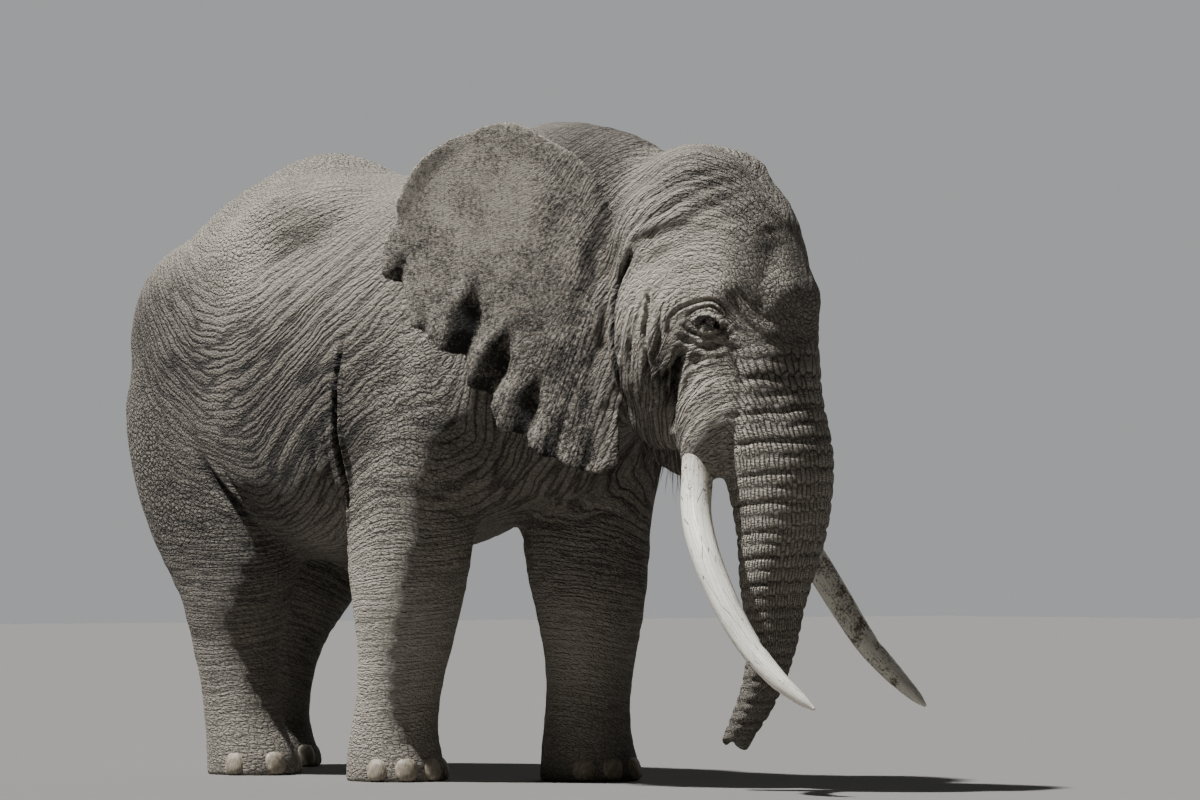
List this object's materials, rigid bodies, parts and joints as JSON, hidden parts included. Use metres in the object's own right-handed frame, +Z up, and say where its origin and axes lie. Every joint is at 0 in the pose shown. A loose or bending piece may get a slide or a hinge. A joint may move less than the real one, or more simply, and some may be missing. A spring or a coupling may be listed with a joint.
{
  "type": "elephant",
  "caption": "African bush elephant bull, standing in mid stride with its head low, large ears and long curved tusks; a still, life-size figure.",
  "frame": {"origin": "on the ground, under the middle of the bounding box", "axes": "+X forward, towards the head; +Y to the animal's left; +Z up"},
  "size_m": [5.414, 1.7602, 3.3722],
  "materials": {
    "skin": "dry, wrinkled and dusty",
    "ivory": "satin, stained and scratched",
    "nail": "dull horn",
    "eye": "wet and glossy",
    "hair": "coarse and dull"
  },
  "bodies": {
    "root": {"body": "skin", "ear_left": "skin", "ear_right": "skin", "eye_left": "eye", "eye_right": "eye", "foot_fore_left": "skin", "foot_fore_right": "skin", "foot_hind_left": "skin", "foot_hind_right": "skin", "head": "skin", "lower_jaw": "skin", "lower_leg_fore_left": "skin", "lower_leg_fore_right": "skin", "lower_leg_hind_left": "skin", "lower_leg_hind_right": "skin", "nail_fore_left_1": "nail", "nail_fore_left_2": "nail", "nail_fore_left_3": "nail", "nail_fore_left_4": "nail", "nail_fore_right_1": "nail", "nail_fore_right_2": "nail", "nail_fore_right_3": "nail", "nail_fore_right_4": "nail", "nail_hind_left_1": "nail", "nail_hind_left_2": "nail", "nail_hind_left_3": "nail", "nail_hind_right_1": "nail", "nail_hind_right_2": "nail", "nail_hind_right_3": "nail", "neck": "skin", "tail": "skin", "tail_tuft": "hair", "trunk_middle": "skin", "trunk_tip": "skin", "trunk_upper": "skin", "tusk_left": "ivory", "tusk_right": "ivory", "upper_leg_fore_left": "skin", "upper_leg_fore_right": "skin", "upper_leg_hind_left": "skin", "upper_leg_hind_right": "skin"}
  },
  "joints": []
}
